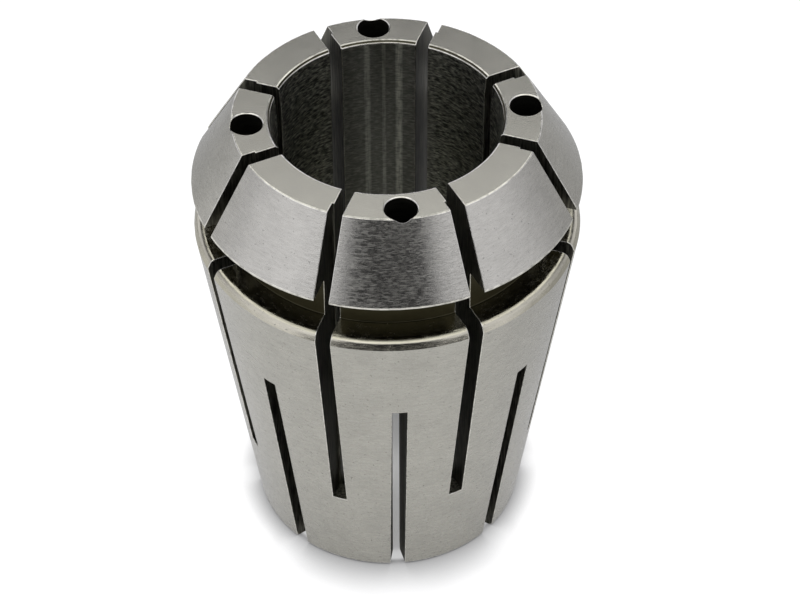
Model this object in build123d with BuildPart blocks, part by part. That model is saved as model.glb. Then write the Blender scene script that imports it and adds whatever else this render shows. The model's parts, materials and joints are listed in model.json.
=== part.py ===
from build123d import *
from math import cos, radians, sin, tan
import os

# Spring collet, size 25, for tool shanks of 14 to 15 mm: one turned, slit and ground steel sleeve.
# It stands on its back end. The origin is the centre of that end and +Z runs up to the nose.
# All sizes are in millimetres and degrees.

# Turned profile
overall_length = 34.0
bore_diameter = 15.0
outer_diameter = 26.0        # widest point of the nose cone, and of the shoulder below the groove
nose_length = 5.0            # nose face to the front wall of the groove
nose_half_angle = 30.0
groove_width = 3.1
groove_diameter = 22.0
body_half_angle = 8.0

# The shoulder's round, the corners of the groove floor and the broken edges
shoulder_round = 0.6
groove_corner = 0.2
rim_edge_break = 0.1
face_edge_break = 0.1
back_edge_break = 0.2
bore_mouth_chamfer = 0.25
bore_back_chamfer = 0.25

# Slits: one set is cut down from the face, the other up from the back end, half a pitch apart.
# Each is sawn wide from outside, and its inner web is parted later by a thinner cut.
slit_count = 8               # in each set
slit_width = 1.0
front_web_cut_width = 0.85   # flush with one flank of the wide cut
back_web_cut_width = 0.5     # in the middle of the wide cut
web_radius = 9.2             # where the flanks of the wide cut stop
back_web_slope = 1.1         # radial length over which the back slits narrow to their thin cut
web_cut_overrun = 1.0        # how much further along the collet the thin cut runs
front_slit_length = 26.3     # wide cut, measured down from the nose face
back_slit_length = 18.4      # wide cut, measured up from the back end

# Blind holes in the nose face, in every second segment
hole_count = 4
hole_diameter = 2.15
hole_circle_diameter = 18.3
hole_depth = 6.0
hole_edge_break = 0.06
hole_phase = 1.9             # turn of the hole pattern from the middle of its segments
drill_point_angle = 118.0

# Places that follow from the sizes above
pitch = 360 / slit_count
bore_radius = bore_diameter / 2
outer_radius = outer_diameter / 2
groove_radius = groove_diameter / 2
hole_radius = hole_diameter / 2
face_height = overall_length
rim_height = face_height - nose_length
shoulder_height = rim_height - groove_width
nose_slope = tan(radians(nose_half_angle))
body_slope = tan(radians(body_half_angle))

# Where the two cones start, above the rim's broken edge and below the shoulder's round
nose_start = (outer_radius, rim_height + rim_edge_break)
shoulder_centre = (outer_radius - shoulder_round, shoulder_height - shoulder_round)
body_start = (
    shoulder_centre[0] + shoulder_round * cos(radians(body_half_angle)),
    shoulder_centre[1] - shoulder_round * sin(radians(body_half_angle)),
)
face_radius = nose_start[0] - (face_height - nose_start[1]) * nose_slope
back_radius = body_start[0] - body_start[1] * body_slope

with BuildPart() as collet:
    # Half section, drawn from the bore round the back end, body, groove and nose to the face
    with BuildSketch(Plane.XZ):
        with BuildLine():
            Polyline(
                (bore_radius, face_height - bore_mouth_chamfer),
                (bore_radius, bore_back_chamfer),
                (bore_radius + bore_back_chamfer, 0),
                (back_radius - back_edge_break, 0),
                (back_radius + back_edge_break * body_slope, back_edge_break),
                body_start,
            )
            CenterArc(shoulder_centre, shoulder_round, -body_half_angle, 90 + body_half_angle)
            Polyline(
                (shoulder_centre[0], shoulder_height),
                (groove_radius + groove_corner, shoulder_height),
                (groove_radius, shoulder_height + groove_corner),
                (groove_radius, rim_height - groove_corner),
                (groove_radius + groove_corner, rim_height),
                (outer_radius - rim_edge_break, rim_height),
                nose_start,
                (face_radius + face_edge_break * nose_slope, face_height - face_edge_break),
                (face_radius - face_edge_break, face_height),
                (bore_radius + bore_mouth_chamfer, face_height),
                (bore_radius, face_height - bore_mouth_chamfer),
            )
        make_face()
    revolve(axis=Axis.Z)

    # Both sets of slits, each cut from its own end plane. The wide cut runs from the web out past the
    # widest diameter. The thin cut runs from inside the bore to the web. In the front slits it is
    # flush with one flank of the wide cut, so that a small step shows half way along the other flank.
    # In the back slits both flanks slope in to it.
    wide_flank = slit_width / 2
    back_thin_flank = back_web_cut_width / 2
    slit_reach = outer_radius + slit_width
    thin_start = bore_radius / 2
    back_thin_end = web_radius - back_web_slope
    front_wide_outline = (
        (web_radius, -wide_flank),
        (slit_reach, -wide_flank),
        (slit_reach, wide_flank),
        (web_radius, wide_flank),
    )
    front_thin_outline = (
        (thin_start, wide_flank - front_web_cut_width),
        (web_radius, wide_flank - front_web_cut_width),
        (web_radius, wide_flank),
        (thin_start, wide_flank),
    )
    back_wide_outline = (
        (back_thin_end, -back_thin_flank),
        (web_radius, -wide_flank),
        (slit_reach, -wide_flank),
        (slit_reach, wide_flank),
        (web_radius, wide_flank),
        (back_thin_end, back_thin_flank),
    )
    back_thin_outline = (
        (thin_start, -back_thin_flank),
        (back_thin_end, -back_thin_flank),
        (back_thin_end, back_thin_flank),
        (thin_start, back_thin_flank),
    )
    face_plane = Plane.XY.offset(face_height)
    cuts = (
        (face_plane, front_wide_outline, -front_slit_length, pitch / 2),
        (face_plane, front_thin_outline, -front_slit_length - web_cut_overrun, pitch / 2),
        (Plane.XY, back_wide_outline, back_slit_length, 0),
        (Plane.XY, back_thin_outline, back_slit_length + web_cut_overrun, 0),
    )
    for end_plane, outline, travel, first_angle in cuts:
        with BuildSketch(end_plane):
            with PolarLocations(0, slit_count, first_angle):
                Polygon(*outline, align=None)
        extrude(amount=travel, mode=Mode.SUBTRACT)

    # Drilled holes with broken edges and a drill point at the bottom
    with Locations(Plane.XY.offset(face_height)):
        with PolarLocations(hole_circle_diameter / 2, hole_count, hole_phase):
            CounterSinkHole(
                radius=hole_radius,
                counter_sink_radius=hole_radius + hole_edge_break,
                depth=hole_depth,
                counter_sink_angle=90,
            )
    drill_point_depth = hole_radius / tan(radians(drill_point_angle / 2))
    with Locations(Plane.XY.offset(face_height - hole_depth)):
        with PolarLocations(hole_circle_diameter / 2, hole_count, hole_phase):
            Cone(
                bottom_radius=0,
                top_radius=hole_radius,
                height=drill_point_depth,
                align=(Align.CENTER, Align.CENTER, Align.MAX),
                mode=Mode.SUBTRACT,
            )

collet.part.label = "collet"

os.makedirs("parts", exist_ok=True)
export_step(collet.part, "parts/collet.step")
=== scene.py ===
import json
from math import cos, degrees, pi, radians, sin, tan

import bmesh
import bpy
from mathutils import Matrix, Vector


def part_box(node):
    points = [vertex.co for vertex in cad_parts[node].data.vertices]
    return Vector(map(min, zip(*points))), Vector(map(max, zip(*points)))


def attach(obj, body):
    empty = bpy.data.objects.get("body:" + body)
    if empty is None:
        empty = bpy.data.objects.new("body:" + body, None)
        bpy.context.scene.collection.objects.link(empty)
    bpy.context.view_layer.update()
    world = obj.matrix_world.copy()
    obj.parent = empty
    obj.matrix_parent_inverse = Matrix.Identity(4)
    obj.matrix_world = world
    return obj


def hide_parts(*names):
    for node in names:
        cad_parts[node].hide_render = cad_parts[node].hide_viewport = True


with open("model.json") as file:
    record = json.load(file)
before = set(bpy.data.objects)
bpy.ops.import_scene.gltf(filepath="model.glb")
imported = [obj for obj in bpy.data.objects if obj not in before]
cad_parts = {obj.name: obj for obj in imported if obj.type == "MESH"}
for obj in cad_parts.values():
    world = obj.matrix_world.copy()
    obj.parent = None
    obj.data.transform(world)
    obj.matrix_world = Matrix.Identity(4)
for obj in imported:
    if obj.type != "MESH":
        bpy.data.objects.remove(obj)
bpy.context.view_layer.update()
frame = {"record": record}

bl_info = {
    "name": "Spring collet",
    "version": (1, 0, 0),
    "blender": (4, 5, 0),
    "location": "3D View > Sidebar > Collet",
    "description": "Builds a slotted, ground steel spring collet and the pale studio round it",
    "category": "Object",
}

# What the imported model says: its box before anything is hidden, its height, width and bore
CAD_LOW, CAD_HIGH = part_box("collet")
BORE_MOUNT = next(m for m in frame["record"]["mounts"] if m["name"] == "bore")

# The sleeve is worked in millimetres, because edges broken by a few hundredths get lost in metres
MM = 0.001

# Working lengths in millimetres: how far the looks stay inside the solid's box, how far cutters stand
# out of what they cut, below what distance vertices merge, and how far the rim's land reaches at most
INSET = 0.001
CLEARANCE = 1.0
MERGE_DISTANCE = 1e-6
RIM_REACH = 0.3

# Edges at least as sharp as the first angle get broken. Drilled faces within the second shade as one
SHARP = radians(25)
SMOOTH = radians(35)


def length(name, millimetres, description):
    """A length property, with its default given in millimetres."""
    return bpy.props.FloatProperty(
        name=name, description=description, default=millimetres * MM, unit="LENGTH", precision=5
    )


def angle(name, in_degrees, description):
    """An angle property, with its default given in degrees."""
    return bpy.props.FloatProperty(
        name=name, description=description, default=radians(in_degrees), unit="ROTATION"
    )


def colour(name, red_green_blue, description):
    """A colour property in linear values."""
    return bpy.props.FloatVectorProperty(
        name=name, description=description, default=red_green_blue, size=3, min=0, max=1, subtype="COLOR"
    )


def number(name, default, description):
    """A plain number property."""
    return bpy.props.FloatProperty(name=name, description=description, default=default)


class SleeveSizes(bpy.types.PropertyGroup):
    """Sizes of the turned, slit and drilled sleeve"""

    height: length("Height", (CAD_HIGH.z - CAD_LOW.z) / MM, "Back end to nose face")
    outer_radius: length("Outer radius", -CAD_LOW.x / MM - INSET, "Widest point of nose and shoulder")
    bore_radius: length("Bore radius", BORE_MOUNT["dims"]["r_mm"], "Radius of the straight bore")
    nose_length: length("Nose length", 5.15, "Nose face to the front wall of the groove")
    nose_half_angle: angle("Nose half angle", 30.0, "Angle of the nose cone to the axis")
    body_half_angle: angle("Body half angle", 8.0, "Angle of the body cone to the axis")
    groove_width: length("Groove width", 3.0, "Width of the extraction groove")
    groove_radius: length("Groove radius", 11.0, "Radius of the groove's floor")
    groove_corner: length("Groove corner", 0.1, "Radius in the two corners of the groove")
    shoulder_round: length("Shoulder round", 0.56, "Radius of the shoulder's outer corner")
    shoulder_facet: angle("Shoulder facet", 24.0, "Slope at which the round runs out into the taper")
    rim_land: length("Rim land", 0.15, "Height of the bright, straight land round the rim")
    mouth_chamfer: length("Mouth chamfer", 0.24, "Chamfer round the bore's mouth in the nose face")
    mouth_lip: length("Mouth lip", 0.09, "Bright lip between the nose face and the mouth's chamfer")
    lip_slope: angle("Lip slope", 21.0, "Slope of that lip")
    lead_in: length("Lead-in", 0.11, "Widening of the bore towards its mouth")
    lead_in_length: length("Lead-in length", 1.5, "Length over which the bore widens")
    bore_chamfer: length("Bore chamfer", 0.25, "Chamfer round the bore at the back end")
    back_chamfer: length("Back chamfer", 0.2, "Chamfer round the back end")
    slit_count: bpy.props.IntProperty(name="Slits", description="Slits in each of the two sets", default=8)
    slit_width: length("Slit width", 1.0, "Width of the wide outer cut")
    front_web_cut_width: length("Front web cut width", 0.85, "Thin inner cut, flush with one flank")
    back_web_cut_width: length("Back web cut width", 0.5, "Thin inner cut, in the middle")
    web_radius: length("Web radius", 9.2, "Radius at which the flanks of the wide cut stop")
    back_web_slope: length("Back web slope", 1.1, "Radial length over which the back slits narrow")
    web_cut_overrun: length("Web cut overrun", 1.0, "How much further the thin cut runs")
    front_slit_length: length("Front slit length", 26.3, "Wide cut, down from the nose face")
    back_slit_length: length("Back slit length", 18.4, "Wide cut, up from the back end")
    hole_count: bpy.props.IntProperty(name="Holes", description="Blind holes in the nose face", default=4)
    hole_radius: length("Hole radius", 1.075, "Radius of the blind holes")
    hole_circle_radius: length("Hole circle radius", 9.15, "Radius of the circle the holes lie on")
    hole_depth: length("Hole depth", 6.0, "Depth of the holes' straight wall")
    hole_turn: angle("Hole turn", 1.9, "Turn of the holes from the middle of their segments")
    drill_point: angle("Drill point", 118.0, "Full angle of the cone at the bottom of each hole")
    slit_edge_break: length("Slit edge break", 0.05, "Width of the broken edges along the slits")
    face_edge_break: length("Face edge break", 0.075, "Width of the broken edge round the face")
    fine_edge_break: length("Fine edge break", 0.055, "Width of the other broken edges")
    hole_edge_break: length("Hole edge break", 0.06, "Width of the broken edge of each hole")


class SteelColours(bpy.types.PropertyGroup):
    """Colours of the steel's finishes"""

    ground: colour("Ground steel", (0.42, 0.41, 0.362), "Cones, ground to size")
    lapped: colour("Lapped steel", (0.41, 0.4, 0.355), "Nose face and back end")
    shoulder: colour("Shoulder steel", (0.45, 0.43, 0.345), "Round of the shoulder")
    # Painted shade: turned steel is near-black to stand in for the shade and dark reflections in the groove
    # and under the nose; it also colours the back chamfer and a dark line in the mouth's chamfer
    turned: colour("Turned steel", (0.034, 0.031, 0.018), "Groove, left as turned")
    chamfered: colour("Chamfered steel", (0.15, 0.143, 0.113), "Chamfers of the bore")
    honed: colour("Honed steel", (0.38, 0.38, 0.333), "Bore")
    sawn: colour("Sawn steel", (0.12, 0.117, 0.095), "Flanks and floors of the slits, and the holes")
    # Lighter than polished steel: rubbed bright, and a painted highlight, so that the broken edges, the rim's
    # land and the mouth's lip draw white lines
    bright: colour("Bright edge", (0.7, 0.685, 0.61), "Broken edges, rubbed bright")


class StudioSetup(bpy.types.PropertyGroup):
    """Camera, lamps and floor"""

    camera_azimuth: angle("Camera azimuth", -3.865, "0 looks along +Y")
    camera_elevation: angle("Camera elevation", 44.189, "Height of the camera above the horizon")
    camera_roll: angle("Camera roll", -0.131, "Turn of the camera about its line of sight")
    camera_distance: length("Camera distance", 184.747, "Camera to the point it looks at")
    target_height: length("Target height", 17.158, "Height of the point the camera looks at")
    target_shift: length("Target shift", 0.842, "Shift of that point to the camera's right")
    focal_length: number("Focal length", 119.65, "In millimetres on a sensor 36 mm wide")
    floor_colour: colour("Floor", (0.94, 0.94, 0.94), "Plain pale floor")


class Signal:
    """An output socket that takes part in arithmetic. Each operation adds one Math node."""

    def __init__(self, socket):
        self.socket = socket

    def output(self, name):
        """Another output of the same node."""
        return Signal(self.socket.node.outputs[name])

    def math(self, operation, *values):
        """The result of one Math node."""
        graph = Graph(self.socket.id_data)
        return graph.add("ShaderNodeMath", {"operation": operation}, dict(enumerate(values)))

    def __add__(self, other):
        return self.math("ADD", self, other)

    __radd__ = __add__

    def __sub__(self, other):
        return self.math("SUBTRACT", self, other)

    def __rsub__(self, other):
        return self.math("SUBTRACT", other, self)

    def __mul__(self, other):
        return self.math("MULTIPLY", self, other)

    __rmul__ = __mul__

    def __truediv__(self, other):
        return self.math("DIVIDE", self, other)

    def __rtruediv__(self, other):
        return self.math("DIVIDE", other, self)

    def __pow__(self, other):
        return self.math("POWER", self, other)


class Graph:
    """A node tree that nodes are added to."""

    def __init__(self, tree):
        self.tree = tree

    def add(self, kind, settings=None, values=None, output=0):
        """Adds a node with its settings, then its sockets' values or links. Returns one of its outputs."""
        node = self.tree.nodes.new(kind)
        for name, setting in (settings or {}).items():
            if name == "stops":
                set_stops(node.color_ramp, setting)
            else:
                setattr(node, name, setting)
        for name, value in (values or {}).items():
            if isinstance(value, Signal):
                self.tree.links.new(value.socket, node.inputs[name])
            else:
                node.inputs[name].default_value = value
        return Signal(node.outputs[output]) if node.outputs else node

    def mix(self, factor, first, second):
        """A colour between two colours. The node has like-named sockets, so they go by number."""
        settings = {"data_type": "RGBA", "clamp_factor": True}
        return self.add("ShaderNodeMix", settings, {0: factor, 6: first, 7: second}, output=2)

    def vector(self, x, y, z):
        return self.add("ShaderNodeCombineXYZ", None, {"X": x, "Y": y, "Z": z})

    def rise(self, value, start, stop, low=0.0, high=1.0):
        """A level that goes smoothly from low to high as the value goes from start to stop."""
        settings = {"interpolation_type": "SMOOTHSTEP", "clamp": True}
        values = {0: value, 1: start, 2: stop, 3: low, 4: high}
        return self.add("ShaderNodeMapRange", settings, values)


def set_stops(ramp, stops):
    """Gives a colour ramp its (position, grey) stops."""
    while len(ramp.elements) < len(stops):
        ramp.elements.new(1)
    for element, (position, grey) in zip(ramp.elements, stops):
        element.position = position
        element.color = (grey, grey, grey, 1)


def opaque(red_green_blue):
    return (*red_green_blue, 1)


def scaled(red_green_blue, factor):
    return [min(1, channel * factor) for channel in red_green_blue]


class Finish:
    """A steel material under construction, with its object coordinates in millimetres."""

    def __init__(self, name):
        self.material = bpy.data.materials.new(name)
        self.material.use_nodes = True
        tree = self.material.node_tree
        tree.nodes.clear()
        self.graph = Graph(tree)
        place = self.graph.add("ShaderNodeTexCoord", output="Object")
        self.place = self.graph.add(
            "ShaderNodeVectorMath", {"operation": "SCALE"}, {0: place, "Scale": 1 / MM}
        )
        parts = self.graph.add("ShaderNodeSeparateXYZ", None, {0: self.place})
        self.x = parts
        self.y = parts.output("Y")
        self.z = parts.output("Z")
        self.radius = (self.x * self.x + self.y * self.y) ** 0.5

    def lay(self, around, across):
        """Coordinates for marks that run round the axis: marks per radian, and per millimetre across them."""
        return self.graph.vector(
            self.x / self.radius * around,
            self.y / self.radius * around,
            (self.z - self.radius * 0.4) * across,
        )

    def noise(self, vector, scale=1.0, detail=2.0, roughness=0.5):
        values = {"Vector": vector, "Scale": scale, "Detail": detail, "Roughness": roughness}
        return self.graph.add("ShaderNodeTexNoise", {"noise_dimensions": "3D"}, values)

    def ramp(self, value, *stops):
        return self.graph.add("ShaderNodeValToRGB", {"stops": stops}, {0: value})

    def shade(self, colour, factor, dark, light):
        """A colour made darker or lighter by a factor that runs from 0 to 1."""
        return self.graph.mix(factor, opaque(scaled(colour, dark)), opaque(scaled(colour, light)))

    def spot(self, tone, mask, colour):
        """Another colour wherever the mask is 1."""
        return self.graph.mix(mask, tone, opaque(colour))

    def bump(self, height, depth):
        """A bump of the given depth in millimetres."""
        values = {"Height": height, "Strength": 1.0, "Distance": depth * MM}
        return self.graph.add("ShaderNodeBump", None, values)

    def finish(self, base, roughness, normal, glancing=1.0):
        """Completes the material. The glancing share is what it reflects of light at a glancing angle."""
        tint = opaque((glancing, glancing, glancing))
        values = {"Base Color": base, "Roughness": roughness, "Metallic": 1.0}
        values.update({"Specular Tint": tint, "Normal": normal})
        shader = self.graph.add("ShaderNodeBsdfPrincipled", None, values)
        self.graph.add("ShaderNodeOutputMaterial", None, {"Surface": shader})
        return self.material


def ground_finish(name, base, dullness=0.065, depth=0.011):
    """Ground to size: short fine lines round the axis with duller specks between them, faint clouds and
    a few dark pits. The depth of the lines is in millimetres."""
    steel = Finish(name)
    lines = steel.noise(steel.lay(around=14, across=5.5), detail=4, roughness=0.8)
    clouds = steel.noise(steel.place, scale=0.45, detail=3, roughness=0.6)
    pits = steel.ramp(steel.noise(steel.place, scale=5.5, detail=1), (0.7, 0), (0.76, 1))
    tone = steel.shade(base, clouds * 0.35 + lines * 0.65, dark=0.62, light=1.38)
    tone = steel.spot(tone, pits * 0.55, scaled(base, 0.3))
    grit = steel.noise(steel.lay(around=26, across=12), detail=3, roughness=0.6)
    specks = steel.ramp(grit, (0.38, 0), (0.62, 1))
    roughness = lines * 0.1 + clouds * 0.08 + specks * 0.16 + dullness
    return steel.finish(tone, roughness, steel.bump(lines, depth))


def lapped_finish(name, base):
    """Lapped flat: matt, with fine scratches in all directions and faint clouds."""
    steel = Finish(name)
    grit = steel.noise(steel.place, scale=8, detail=4, roughness=0.75)
    clouds = steel.noise(steel.place, scale=0.7, detail=3)
    tone = steel.shade(base, grit * 0.5 + clouds * 0.5, dark=0.82, light=1.18)
    return steel.finish(tone, grit * 0.1 + clouds * 0.06 + 0.11, steel.bump(grit, 0.005))


def turned_painted_shade_finish(name, base):
    """Left as turned: even rings from the tool. Its near-black colour is painted shade."""
    steel = Finish(name)
    rings = steel.noise(steel.lay(around=6, across=14), detail=2)
    clouds = steel.noise(steel.place, scale=1.2, detail=3)
    tone = steel.shade(base, rings * 0.4 + clouds * 0.6, dark=0.6, light=1.4)
    return steel.finish(tone, rings * 0.12 + 0.26, steel.bump(rings, 0.005), glancing=0.6)


def chamfer_finish(name, base):
    """Chamfer, cut bright in a few passes that leave rings."""
    steel = Finish(name)
    rings = steel.noise(steel.lay(around=3, across=16), detail=2, roughness=0.7)
    tone = steel.shade(base, steel.ramp(rings, (0.36, 0), (0.6, 1)), dark=0.45, light=1.25)
    return steel.finish(tone, rings * 0.1 + 0.18, steel.bump(rings, 0.006))


# Painted highlights, three soft bands along the back of the bore: where across it (-1 to 1), half their
# width, and their strength
BORE_PAINTED_HIGHLIGHTS = ((-0.113, 0.035, 0.6), (0.038, 0.022, 0.5), (0.174, 0.04, 1.0))


def honed_finish(name, base):
    """Honed bore: short fine marks that run round it, painted glints among them, and three soft light bands
    along its back that are painted highlights. Its back is painted darker than its sides.
    """
    steel = Finish(name)
    across = steel.x / steel.radius
    back = steel.graph.rise(steel.y / steel.radius, 0.85, 0.97)
    mottle = steel.noise(steel.lay(around=45, across=0.6), detail=2, roughness=0.5)

    def painted_highlight(place, half_width, strength):
        offset = across - place
        return steel.graph.rise(offset * offset, half_width ** 2, 0.0, high=strength)

    painted_highlights = sum(painted_highlight(*shape) for shape in BORE_PAINTED_HIGHLIGHTS)
    painted_highlights = painted_highlights * back * steel.graph.rise(mottle, 0.3, 0.6, low=0.3)
    ripples = steel.noise(steel.lay(around=18, across=8), detail=2, roughness=0.6)
    # Painted shade and light: the back of the bore darker, its sides lighter, and the painted highlights on
    # the back
    tone = steel.shade(base, painted_highlights * 0.7 - back * 0.35 + 0.4, dark=0.5, light=2.1)
    dents = steel.ramp(ripples, (0.38, 1), (0.52, 0))
    tone = steel.spot(tone, dents * (0.85 - back * 0.45), scaled(base, 0.2))
    # Painted glints: light dashes, fewer at the back
    glints = steel.ramp(ripples, (0.55, 0), (0.66, 1))
    tone = steel.spot(tone, glints * (0.75 - back * 0.6), scaled(base, 2.3))
    return steel.finish(tone, ripples * 0.16 + 0.24, steel.bump(ripples, 0.02))


def sawn_finish(name, base):
    """Sawn slit: rough and dull, with marks along the cut."""
    steel = Finish(name)
    spread = {"operation": "MULTIPLY"}
    along = steel.graph.add("ShaderNodeVectorMath", spread, {0: steel.place, 1: (7, 7, 0.5)})
    marks = steel.noise(along, detail=4, roughness=0.65)
    tone = steel.shade(base, steel.ramp(marks, (0.38, 0), (0.64, 1)), dark=0.45, light=1.9)
    return steel.finish(tone, marks * 0.2 + 0.3, steel.bump(marks, 0.02), glancing=0.7)


def drilled_finish(name, base):
    """Drilled hole: rings down the wall."""
    steel = Finish(name)
    spread = {"operation": "MULTIPLY"}
    down = steel.graph.add("ShaderNodeVectorMath", spread, {0: steel.place, 1: (0.8, 0.8, 7)})
    rings = steel.noise(down, detail=3)
    tone = steel.shade(base, rings, dark=0.6, light=1.4)
    return steel.finish(tone, rings * 0.2 + 0.25, steel.bump(rings, 0.008), glancing=0.3)


def rubbed_highlight_finish(name, base):
    """Broken edge, rubbed bright and lighter still from a painted highlight, with duller places along it."""
    steel = Finish(name)
    wear = steel.noise(steel.place, scale=2.2, detail=4, roughness=0.7)
    tone = steel.shade(base, steel.ramp(wear, (0.34, 0), (0.56, 1)), dark=0.55, light=1.0)
    return steel.finish(tone, wear * 0.15 + 0.15, steel.bump(wear, 0.01))


def arc_points(centre, radius, start, sweep, steps):
    """Points along an arc in the section, its first one left out. Angles are in degrees."""
    turns = (radians(start + sweep * (i + 1) / steps) for i in range(steps))
    return [(centre[0] + radius * cos(t), centre[1] + radius * sin(t)) for t in turns]


def sleeve_section(sizes):
    """The section from the bore round the back end, body, groove and nose to the face, in millimetres.
    Each entry is a point and the finish of the stretch that leads to it. The last leads back to the first."""
    height, outer, bore = sizes.height / MM, sizes.outer_radius / MM, sizes.bore_radius / MM
    chamfer, back_chamfer = sizes.bore_chamfer / MM, sizes.back_chamfer / MM
    rounding, corner = sizes.shoulder_round / MM, sizes.groove_corner / MM
    groove, land = sizes.groove_radius / MM, sizes.rim_land / MM
    rim_height = height - sizes.nose_length / MM
    shoulder_height = rim_height - sizes.groove_width / MM
    nose_slope, body_slope = tan(sizes.nose_half_angle), tan(sizes.body_half_angle)
    face_radius = outer - (height - rim_height - land) * nose_slope
    body_start = (
        outer - rounding + rounding * cos(sizes.body_half_angle),
        shoulder_height - rounding - rounding * sin(sizes.body_half_angle),
    )
    back_radius = body_start[0] - body_start[1] * body_slope

    # The shoulder's round stops short of the taper and runs out into it on a narrow facet
    facet = sizes.shoulder_facet
    facet_rise = rounding * sin(facet) + rounding * sin(sizes.body_half_angle)
    facet_top = (body_start[0] - facet_rise * tan(facet), body_start[1] + facet_rise)
    centre = (facet_top[0] - rounding * cos(facet), shoulder_height - rounding)

    # The lip of the mouth is bright, partly a painted highlight, and the chamfer below it has a painted dark
    # line in its upper half, in the near-black turned colour
    mouth, slant = bore + sizes.lead_in / MM, sizes.mouth_chamfer / MM
    below = slant - sizes.mouth_lip / MM
    lip_bottom = height - sizes.mouth_lip / MM * tan(sizes.lip_slope)
    section = [((mouth + below, lip_bottom), "lip"), ((mouth + below / 2, lip_bottom - below / 2), "turned")]
    section += [((mouth, lip_bottom - below), "chamfered")]
    section += [((bore, lip_bottom - below - sizes.lead_in_length / MM), "honed"), ((bore, chamfer), "honed")]
    section += [((bore + chamfer, 0), "chamfered"), ((back_radius - back_chamfer, 0), "lapped")]
    # The back chamfer is turned steel too, in its near-black painted shade
    section += [((back_radius + back_chamfer * body_slope, back_chamfer), "turned"), (body_start, "ground")]
    section += [(facet_top, "shoulder")]
    round_points = arc_points(centre, rounding, degrees(facet), 90 - degrees(facet), 8)
    section += [(p, "shoulder") for p in round_points]
    section += [((groove + corner, shoulder_height), "shoulder")]
    # The groove and the nose's underside are turned steel, in its near-black painted shade
    lower = (groove + corner, shoulder_height + corner)
    section += [(p, "turned") for p in arc_points(lower, corner, 270, -90, 4)]
    section += [((groove, rim_height - corner), "turned")]
    upper = (groove + corner, rim_height - corner)
    section += [(p, "turned") for p in arc_points(upper, corner, 180, -90, 4)]
    # The rim's land is bright edge: rubbed bright, and a painted highlight
    section += [((outer, rim_height), "turned"), ((outer, rim_height + land), "bright")]
    section += [((face_radius, height), "ground"), ((mouth + slant, height), "lapped")]
    return section


def column_angles(slit_count, clear, steps):
    """Angles of the sleeve's columns in degrees: one in the middle of each slit, none near its flanks."""
    pitch = 180 / slit_count
    inner = [clear + (pitch - 2 * clear) * i / steps for i in range(steps + 1)]
    return [pitch * k + a for k in range(2 * slit_count) for a in [0, *inner]]


def revolve(name, section, angles, finishes, offset=0.0):
    """Turns a closed section about an axis parallel to Z, at x = offset. Finishes are names of materials."""
    shape = bmesh.new()
    rings = []
    for turn in map(radians, angles):
        rings.append(
            [shape.verts.new((offset + r * cos(turn), r * sin(turn), z)) for (r, z), _ in section]
        )
    for j, ring in enumerate(rings):
        following = rings[(j + 1) % len(rings)]
        for i, (_, finish) in enumerate(section):
            corners = (ring[i - 1], following[i - 1], following[i], ring[i])
            shape.faces.new(corners).material_index = finishes.index(finish)
    bmesh.ops.remove_doubles(shape, verts=shape.verts, dist=MERGE_DISTANCE)
    bmesh.ops.recalc_face_normals(shape, faces=shape.faces)
    return new_object(name, shape)


def new_object(name, shape):
    mesh = bpy.data.meshes.new(name)
    shape.to_mesh(mesh)
    shape.free()
    item = bpy.data.objects.new(name, mesh)
    bpy.context.scene.collection.objects.link(item)
    return item


def slit_cutter(end, floor, overrun, inner, mouth):
    """A closed block that cuts one slit from an end plane to its floor. Its thin inner part starts at the
    inner radius and reaches further by the overrun. The mouth is the outline of the wide part, from the
    thin part's lower flank round to its upper one."""
    low, high = mouth[0][1], mouth[-1][1]
    deep = floor + overrun
    shape = bmesh.new()
    found = {}

    def corner(spot, z):
        if (spot, z) not in found:
            found[spot, z] = shape.verts.new((*spot, z))
        return found[spot, z]

    def face(*corners):
        shape.faces.new([corner(*c) for c in corners])

    inner_low, inner_high = (inner, low), (inner, high)
    first, last = mouth[0], mouth[-1]
    face(*((spot, end) for spot in (inner_low, *mouth, inner_high)))
    face(*((spot, floor) for spot in mouth))
    face(*((spot, deep) for spot in (inner_low, first, last, inner_high)))
    face((first, floor), (last, floor), (last, deep), (first, deep))
    face((inner_low, end), (inner_high, end), (inner_high, deep), (inner_low, deep))
    face((inner_low, end), (first, end), (first, floor), (first, deep), (inner_low, deep))
    face((inner_high, end), (last, end), (last, floor), (last, deep), (inner_high, deep))
    for start, stop in zip(mouth, mouth[1:]):
        face((start, end), (stop, end), (stop, floor), (start, floor))
    bmesh.ops.recalc_face_normals(shape, faces=shape.faces)
    return new_object("slit_cutter", shape)


def front_slit_cutter(sizes):
    """From above the face. The thin cut is flush with one flank, so a step shows on the other."""
    half, web = sizes.slit_width / MM / 2, sizes.web_radius / MM
    reach = sizes.outer_radius / MM + 2 * half
    mouth = [(web, half - sizes.front_web_cut_width / MM), (web, -half), (reach, -half)]
    mouth += [(reach, half), (web, half)]
    height, overrun = sizes.height / MM, -sizes.web_cut_overrun / MM
    floor = height - sizes.front_slit_length / MM
    return slit_cutter(height + CLEARANCE, floor, overrun, sizes.bore_radius / MM / 2, mouth)


def back_slit_cutter(sizes):
    """From below the back end. Both flanks slope in to the thin cut."""
    half, thin, web = sizes.slit_width / MM / 2, sizes.back_web_cut_width / MM / 2, sizes.web_radius / MM
    reach, narrow = sizes.outer_radius / MM + 2 * half, web - sizes.back_web_slope / MM
    mouth = [(narrow, -thin), (web, -half), (reach, -half), (reach, half), (web, half), (narrow, thin)]
    floor, overrun = sizes.back_slit_length / MM, sizes.web_cut_overrun / MM
    return slit_cutter(-CLEARANCE, floor, overrun, sizes.bore_radius / MM / 2, mouth)


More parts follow.
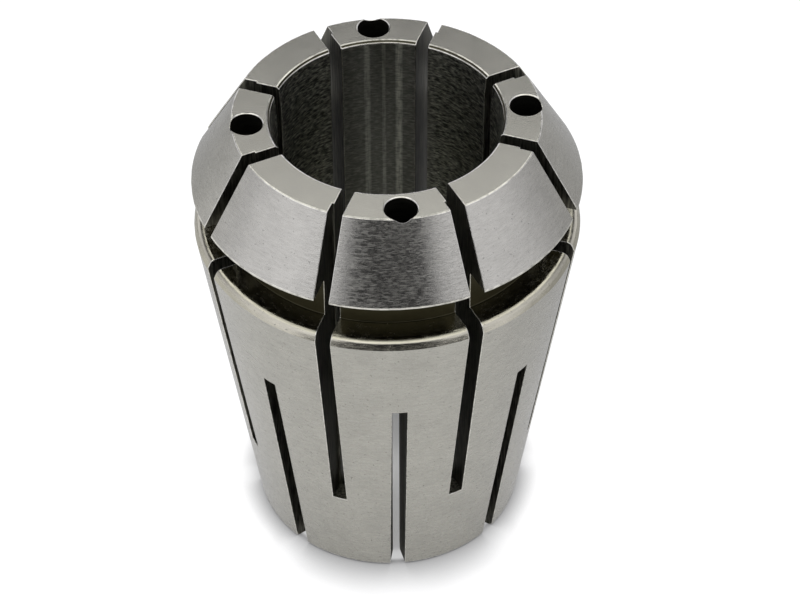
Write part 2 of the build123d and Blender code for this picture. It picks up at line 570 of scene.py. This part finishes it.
def drill_cutter(sizes, finishes):
    """The straight wall and the drill point of one hole."""
    radius, top = sizes.hole_radius / MM, sizes.height / MM
    bottom = top - sizes.hole_depth / MM
    tip = bottom - radius / tan(sizes.drill_point / 2)
    section = [((0, tip), "drilled"), ((radius, bottom), "drilled")]
    section += [((radius, top + CLEARANCE), "drilled"), ((0, top + CLEARANCE), "drilled")]
    turns = [360 * i / 48 for i in range(48)]
    return revolve("drill_cutter", section, turns, finishes, sizes.hole_circle_radius / MM)


def polar_cut_tree():
    """A node tree that sets copies of a cutter round the Z axis and cuts them all away."""
    tree = bpy.data.node_groups.new("Polar cut", "GeometryNodeTree")
    tree.interface.new_socket("Geometry", in_out="OUTPUT", socket_type="NodeSocketGeometry")
    for name, kind in (
        ("Geometry", "NodeSocketGeometry"),
        ("Cutter", "NodeSocketObject"),
        ("Count", "NodeSocketInt"),
        ("First angle", "NodeSocketFloat"),
        ("Finish", "NodeSocketMaterial"),
    ):
        tree.interface.new_socket(name, in_out="INPUT", socket_type=kind)
    graph = Graph(tree)
    given = graph.add("NodeGroupInput")
    cutter = graph.add("GeometryNodeObjectInfo", None, {"Object": given.output("Cutter")}, "Geometry")
    points = graph.add("GeometryNodePoints", None, {"Count": given.output("Count")})
    step = graph.add("GeometryNodeInputIndex") * (2 * pi) / given.output("Count")
    turn = step + given.output("First angle")
    axis = {"Axis": (0, 0, 1), "Angle": turn}
    rotation = graph.add("FunctionNodeAxisAngleToRotation", None, axis)
    copies = graph.add(
        "GeometryNodeInstanceOnPoints", None, {"Points": points, "Instance": cutter, "Rotation": rotation}
    )
    real = graph.add("GeometryNodeRealizeInstances", None, {"Geometry": copies})
    named = {"Geometry": real, "Material": given.output("Finish")}
    finished = graph.add("GeometryNodeSetMaterial", None, named)
    settings = {"operation": "DIFFERENCE", "solver": "EXACT"}
    cut = graph.add(
        "GeometryNodeMeshBoolean", settings, {"Mesh 1": given.output("Geometry"), "Mesh 2": finished}
    )
    graph.add("NodeGroupOutput", None, {"Geometry": cut})
    return tree


def polar_cut(item, tree, cutter, count, first_angle, finish):
    """Adds a polar cut to an object. Its inputs are set by their sockets' identifiers."""
    modifier = item.modifiers.new("Polar cut", "NODES")
    modifier.node_group = tree
    given = {"Cutter": cutter, "Count": count, "First angle": first_angle, "Finish": finish}
    for socket in tree.interface.items_tree:
        if socket.in_out == "INPUT" and socket.name in given:
            modifier[socket.identifier] = given[socket.name]


def apply_modifiers(item):
    """Turns what the modifiers make into the object's plain mesh, and removes them."""
    evaluated = item.evaluated_get(bpy.context.evaluated_depsgraph_get())
    mesh = bpy.data.meshes.new_from_object(evaluated)
    item.modifiers.clear()
    old = item.data
    item.data = mesh
    bpy.data.meshes.remove(old)


def remove_helpers(*helpers):
    for helper in helpers:
        mesh = helper.data
        bpy.data.objects.remove(helper)
        bpy.data.meshes.remove(mesh)


class COLLET_OT_sleeve(bpy.types.Operator):
    """Turn, slit, deburr and drill the steel sleeve"""

    bl_idname = "collet.sleeve"
    bl_label = "Sleeve"

    def execute(self, context):
        sizes = context.scene.collet_sizes
        colours = context.scene.collet_colours
        finishes = {
            "ground": ground_finish("ground_steel", colours.ground),
            "shoulder": ground_finish("shoulder_steel", colours.shoulder, dullness=0.02, depth=0.006),
            "lapped": lapped_finish("lapped_steel", colours.lapped),
            # Turned steel's near-black colour is painted shade
            "turned": turned_painted_shade_finish("turned_painted_shade_steel", colours.turned),
            "chamfered": chamfer_finish("chamfered_steel", colours.chamfered),
            "honed": honed_finish("honed_steel", colours.honed),
            "sawn": sawn_finish("sawn_steel", colours.sawn),
            "drilled": drilled_finish("drilled_steel", colours.sawn),
            # Broken edges and the mouth's lip: rubbed bright, with a painted highlight in their light colour
            "bright": rubbed_highlight_finish("bright_edge_highlight", colours.bright),
            "lip": rubbed_highlight_finish("lip_highlight_steel", colours.bright),
        }
        names = list(finishes)
        angles = column_angles(sizes.slit_count, clear=5.0, steps=6)
        sleeve = revolve("collet_sleeve", sleeve_section(sizes), angles, names)
        for finish in finishes.values():
            sleeve.data.materials.append(finish)

        tree = polar_cut_tree()
        front, back = front_slit_cutter(sizes), back_slit_cutter(sizes)
        half_pitch = pi / sizes.slit_count
        polar_cut(sleeve, tree, front, sizes.slit_count, half_pitch, finishes["sawn"])
        polar_cut(sleeve, tree, back, sizes.slit_count, 0.0, finishes["sawn"])
        apply_modifiers(sleeve)
        break_edges(sleeve, sizes, names)
        apply_modifiers(sleeve)
        drill = drill_cutter(sizes, names)
        polar_cut(sleeve, tree, drill, sizes.hole_count, sizes.hole_turn, finishes["drilled"])
        apply_modifiers(sleeve)
        break_hole_rims(sleeve, sizes, names)
        remove_helpers(front, back, drill)
        bpy.data.node_groups.remove(tree)
        sleeve.data.transform(Matrix.Scale(MM, 4))
        set_normals(sleeve.data, sizes)
        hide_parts("collet")
        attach(sleeve, "root")
        return {"FINISHED"}


def material_names(mesh):
    return [m.name if m else "" for m in mesh.materials]


def break_edges(item, sizes, names):
    """Marks the edges that get broken, each with its width as a share of the widest, and bevels them."""
    widths = {
        "slit": sizes.slit_edge_break / MM,
        "face": sizes.face_edge_break / MM,
        "fine": sizes.fine_edge_break / MM,
    }
    widest = max(widths.values())
    shape = bmesh.new()
    shape.from_mesh(item.data)
    weight = shape.edges.layers.float.new("bevel_weight_edge")
    cut = {i for i, name in enumerate(material_names(item.data)) if name.startswith("sawn")}
    ground = names.index("ground")
    shoulder = names.index("shoulder")
    lapped = names.index("lapped")
    for edge in shape.edges:
        if len(edge.link_faces) != 2 or edge.calc_face_angle_signed(0) < SHARP:
            continue
        kinds = {f.material_index for f in edge.link_faces}
        if kinds <= cut or kinds == {ground, shoulder}:
            continue
        if kinds & cut:
            kind = "slit"
        elif kinds == {ground, lapped}:
            kind = "face"
        else:
            kind = "fine"
        edge[weight] = widths[kind] / widest
    shape.to_mesh(item.data)
    shape.free()
    bevel = item.modifiers.new("Broken edges", "BEVEL")
    bevel.limit_method = "WEIGHT"
    bevel.offset_type = "OFFSET"
    bevel.width = widest
    bevel.segments = 3
    bevel.use_clamp_overlap = False
    bevel.miter_outer = "MITER_SHARP"
    bevel.material = names.index("bright")


def break_hole_rims(item, sizes, names):
    """Bevels the rims of the drilled holes, also where they run out through the edge of the face."""
    drilled = {i for i, name in enumerate(material_names(item.data)) if name.startswith("drilled")}
    shape = bmesh.new()
    shape.from_mesh(item.data)
    rims = [
        edge for edge in shape.edges
        if len({face.material_index in drilled for face in edge.link_faces}) == 2
    ]
    bmesh.ops.bevel(
        shape, geom=rims, affect="EDGES", offset_type="OFFSET", offset=sizes.hole_edge_break / MM,
        segments=1, profile=0.5, clamp_overlap=False, material=names.index("bright"),
    )
    shape.to_mesh(item.data)
    shape.free()


def set_normals(mesh, sizes):
    """Shades turned faces as true rounds, sawn faces flat, and broken edges from one neighbour to the other.
    The rim's land and the broken edges of the holes keep their facets, which draw crisp lines."""
    names = material_names(mesh)
    rim_height = sizes.height - sizes.nose_length
    kinds = []
    for name in names:
        if name.startswith("sawn"):
            kinds.append("flat")
        elif name.startswith("bright"):
            kinds.append("edge")
        elif name.startswith("drilled"):
            kinds.append("drilled")
        else:
            kinds.append("turned")
    faces_at = [[] for _ in mesh.vertices]
    for face in mesh.polygons:
        for v in face.vertices:
            faces_at[v].append(face.index)
    polygons = mesh.polygons
    kind_of = [kinds[p.material_index] for p in polygons]
    section = []
    for p in polygons:
        out = Vector((p.center.x, p.center.y))
        out = out.normalized() if out.length > 1e-9 else Vector((1, 0))
        section.append((p.normal.x * out.x + p.normal.y * out.y, p.normal.z))

    def turned_normal(v, finish):
        alike = [f for f in faces_at[v] if polygons[f].material_index == finish]
        radial = sum(section[f][0] for f in alike)
        axial = sum(section[f][1] for f in alike)
        spot = mesh.vertices[v].co
        out = Vector((spot.x, spot.y)).normalized()
        return Vector((out.x * radial, out.y * radial, axial)).normalized()

    def smooth_normal(v, f):
        near = [
            g for g in faces_at[v]
            if kind_of[g] == kind_of[f] and polygons[g].normal.dot(polygons[f].normal) > cos(SMOOTH)
        ]
        return sum((polygons[g].normal for g in near), Vector()).normalized()

    def edge_normal(v, f):
        main = []
        for g in faces_at[v]:
            if kind_of[g] != "edge":
                main.append(plain_normal(v, g))
        if main:
            return max(main, key=lambda n: n.dot(polygons[f].normal))
        return sum((polygons[g].normal for g in faces_at[v]), Vector()).normalized()

    def plain_normal(v, f):
        kind = kind_of[f]
        if kind == "flat":
            return polygons[f].normal.copy()
        if kind == "turned":
            return turned_normal(v, polygons[f].material_index)
        return smooth_normal(v, f)

    def faceted(face):
        if abs(face.center.z - rim_height) < RIM_REACH * MM:
            return True
        return any(kind_of[g] == "drilled" for v in face.vertices for g in faces_at[v])

    normals = [None] * len(mesh.loops)
    for face in polygons:
        crisp = kind_of[face.index] == "edge" and faceted(face)
        for loop in face.loop_indices:
            v = mesh.loops[loop].vertex_index
            if kind_of[face.index] != "edge":
                normals[loop] = plain_normal(v, face.index)
            elif crisp:
                normals[loop] = face.normal.copy()
            else:
                normals[loop] = edge_normal(v, face.index)
    for face in polygons:
        face.use_smooth = True
    mesh.normals_split_custom_set([tuple(n) for n in normals])
    mesh.update()


class COLLET_OT_stage(bpy.types.Operator):
    """Set the floor, the lamps, the surrounding light and the camera"""

    bl_idname = "collet.stage"
    bl_label = "Stage"

    def execute(self, context):
        setup = context.scene.collet_studio
        place_camera(context.scene, setup)
        lay_floor(setup)
        hang_lamps()
        surround(context.scene)
        context.scene.view_settings.view_transform = "Standard"
        return {"FINISHED"}


def place_camera(scene, setup):
    azimuth, elevation, roll = setup.camera_azimuth, setup.camera_elevation, setup.camera_roll
    back = Vector((sin(azimuth) * cos(elevation), -cos(azimuth) * cos(elevation), sin(elevation)))
    level = (-back).cross(Vector((0, 0, 1))).normalized()
    upright = level.cross(-back)
    right = cos(roll) * level + sin(roll) * upright
    up = cos(roll) * upright - sin(roll) * level
    target = right * setup.target_shift + Vector((0, 0, setup.target_height))
    data = bpy.data.cameras.new("camera")
    data.lens = setup.focal_length
    data.sensor_width = 36.0
    data.clip_start = 0.01
    camera = bpy.data.objects.new("camera", data)
    scene.collection.objects.link(camera)
    axes = Matrix((right, up, back)).transposed().to_4x4()
    camera.matrix_world = Matrix.Translation(target + back * setup.camera_distance) @ axes
    scene.camera = camera


def lay_floor(setup):
    """A disc of paper. To the camera it is lit a little and glows white, apart from the contact shadow, which
    is painted into the glow and follows how much open sky each spot sees. To the steel its colour is painted
    darker further out and behind, a painted shade that the cones mirror."""
    mesh = bpy.data.meshes.new("floor")
    reach, sides = 0.3, 48
    turns = [2 * pi * i / sides for i in range(sides)]
    corners = [(reach * cos(turn), reach * sin(turn), 0) for turn in turns]
    mesh.from_pydata(corners, [], [range(sides)])
    floor = bpy.data.objects.new("floor", mesh)
    bpy.context.scene.collection.objects.link(floor)
    material = bpy.data.materials.new("floor_paper")
    material.use_nodes = True
    material.node_tree.nodes.clear()
    graph = Graph(material.node_tree)
    place = graph.add("ShaderNodeSeparateXYZ", None, {0: graph.add("ShaderNodeTexCoord", output="Object")})
    x, y = place, place.output("Y")
    radius = (x * x + y * y) ** 0.5
    # Painted shade for the cones to mirror: the paper's colour darker behind the steel and a little darker
    # beyond 24 mm from its axis
    far_side_painted_shade = graph.rise(y + x * 0.5, -0.02, 0.045, low=1.0, high=0.58)
    level = graph.rise(radius, 0.014, 0.024, low=1.0, high=0.9) * far_side_painted_shade
    paper = graph.mix(level, (0, 0, 0, 1), opaque(setup.floor_colour))

    # Inside the bore the floor stays plain paper to the camera too, with a faint glow of its own
    outside = graph.rise(radius, 0.0075, 0.0085)
    camera_ray = graph.add("ShaderNodeLightPath", output="Is Camera Ray") * outside
    seen = graph.mix(camera_ray, paper, opaque(scaled(setup.floor_colour, 0.22)))
    # To the camera the paper glows, and the glow fades near the steel into a painted contact shadow
    near = {"Distance": graph.rise(y * -1 / radius, 0.5, 1.0, low=1.6 * MM, high=3.2 * MM)}
    open_sky = graph.add("ShaderNodeAmbientOcclusion", {"samples": 16}, near, "AO")
    glow = camera_ray * 0.88 * graph.rise(radius, 0.0088, 0.0092, low=0.6, high=open_sky ** 1.5)
    glow = glow + graph.rise(radius, 0.0085, 0.0075, high=0.15)
    values = {"Base Color": seen, "Roughness": 0.9, "Specular IOR Level": 0.0}
    values.update({"Emission Color": graph.vector(glow, glow, glow), "Emission Strength": 1.0})
    shader = graph.add("ShaderNodeBsdfPrincipled", None, values)
    graph.add("ShaderNodeOutputMaterial", None, {"Surface": shader})
    mesh.materials.append(material)


def hang_lamps():
    """A soft box overhead that only lights the floor, and a weaker one in front, above the doorway."""
    for name, place, size, radiance, shows in (
        ("soft_box_overhead", (0.0, 0.02, 0.5), (0.22, 0.22), 2.5, False),
        ("soft_box_front", (0.0, -0.34, 0.37), (0.4, 0.24), 0.3, True),
    ):
        data = bpy.data.lights.new(name, "AREA")
        data.shape = "RECTANGLE"
        data.size, data.size_y = size
        data.energy = radiance * pi * size[0] * size[1]
        lamp = bpy.data.objects.new(name, data)
        bpy.context.scene.collection.objects.link(lamp)
        aim = Vector((0, 0, 0.02)) - Vector(place)
        turned = aim.to_track_quat("-Z", "Y").to_matrix().to_4x4()
        lamp.matrix_world = Matrix.Translation(place) @ turned
        lamp.visible_glossy = shows


class Surround(Graph):
    """The world round the stage, as levels of grey that follow the direction looked in."""

    def __init__(self, world):
        world.use_nodes = True
        world.node_tree.nodes.clear()
        super().__init__(world.node_tree)
        parts = self.add("ShaderNodeSeparateXYZ", None, {0: self.add("ShaderNodeTexCoord")})
        self.x = parts
        self.y = parts.output("Y")
        self.z = parts.output("Z")

        # 1 towards the camera, which stands a little to the left, and -1 behind. Never divided by zero
        flat_length = (self.x * self.x + self.y * self.y + 0.0001) ** 0.5
        self.front = (self.y + self.x * 0.045) * -1 / flat_length


def painted(level, new_level, mask):
    """The new level wherever the mask is 1, and the old one wherever it is 0."""
    return level + (new_level - level) * mask


def surround(scene):
    """White to the camera. To the steel it is a pale room, with a dark doorway and skirting in front, a
    dark band under the ceiling behind, and a dark patch overhead."""
    world = bpy.data.worlds.new("room")
    room = Surround(world)
    front, x, z = room.front, room.x, room.z
    level = room.rise(front, -0.8, 0.6, low=0.45, high=1.27) * room.rise(x, -0.4, 0.5, low=1.02, high=0.9)
    behind = room.rise(front, -0.2, -0.7)
    low_wall, dark_band = room.rise(z, 0.44, 0.3), room.rise(z, 0.4, 0.52)
    level = painted(level, 1.1, behind * low_wall)
    level = painted(level, 0.08, behind * dark_band)
    ceiling = room.rise(z, 0.62, 0.68)
    level = painted(level, 1.5, ceiling)
    level = level - room.rise(z, 0.76, 0.86, high=0.5)
    overhead = room.rise(z, 0.92, 0.95) * room.rise(room.y, 0.1, -0.02)
    level = painted(level, 0.2, overhead)
    doorway = room.rise(front, 0.865, 0.935) * room.rise(z, 0.59, 0.42)
    level = painted(level, 0.03, doorway)
    skirting = room.rise(front, 0.6, 0.8) * room.rise(z, 0.16, 0.08)
    level = painted(level, 0.08, skirting)
    level = painted(level, 1.0, room.add("ShaderNodeLightPath", output="Is Camera Ray"))
    cool = level * (1.1 - ceiling * 0.1)
    background = room.add("ShaderNodeBackground", None, {"Color": room.vector(level, level, cool)})
    room.add("ShaderNodeOutputWorld", None, {"Surface": background})
    scene.world = world


class COLLET_PT_build(bpy.types.Panel):
    """Lists what builds the collet"""

    bl_idname = "COLLET_PT_build"
    bl_label = "Spring collet"
    bl_space_type = "VIEW_3D"
    bl_region_type = "UI"
    bl_category = "Collet"

    def draw(self, context):
        for operator in (COLLET_OT_sleeve, COLLET_OT_stage):
            self.layout.operator(operator.bl_idname)
        for group in ("collet_sizes", "collet_colours", "collet_studio"):
            properties = getattr(context.scene, group)
            box = self.layout.box()
            for name in properties.__annotations__:
                box.prop(properties, name)


CLASSES = (SleeveSizes, SteelColours, StudioSetup, COLLET_OT_sleeve, COLLET_OT_stage, COLLET_PT_build)


def register():
    for cls in CLASSES:
        bpy.utils.register_class(cls)
    bpy.types.Scene.collet_sizes = bpy.props.PointerProperty(type=SleeveSizes)
    bpy.types.Scene.collet_colours = bpy.props.PointerProperty(type=SteelColours)
    bpy.types.Scene.collet_studio = bpy.props.PointerProperty(type=StudioSetup)


def unregister():
    del bpy.types.Scene.collet_studio
    del bpy.types.Scene.collet_colours
    del bpy.types.Scene.collet_sizes
    for cls in reversed(CLASSES):
        bpy.utils.unregister_class(cls)


def main():
    register()
    bpy.ops.collet.sleeve()
    bpy.ops.collet.stage()
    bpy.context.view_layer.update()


if __name__ == "__main__":
    main()
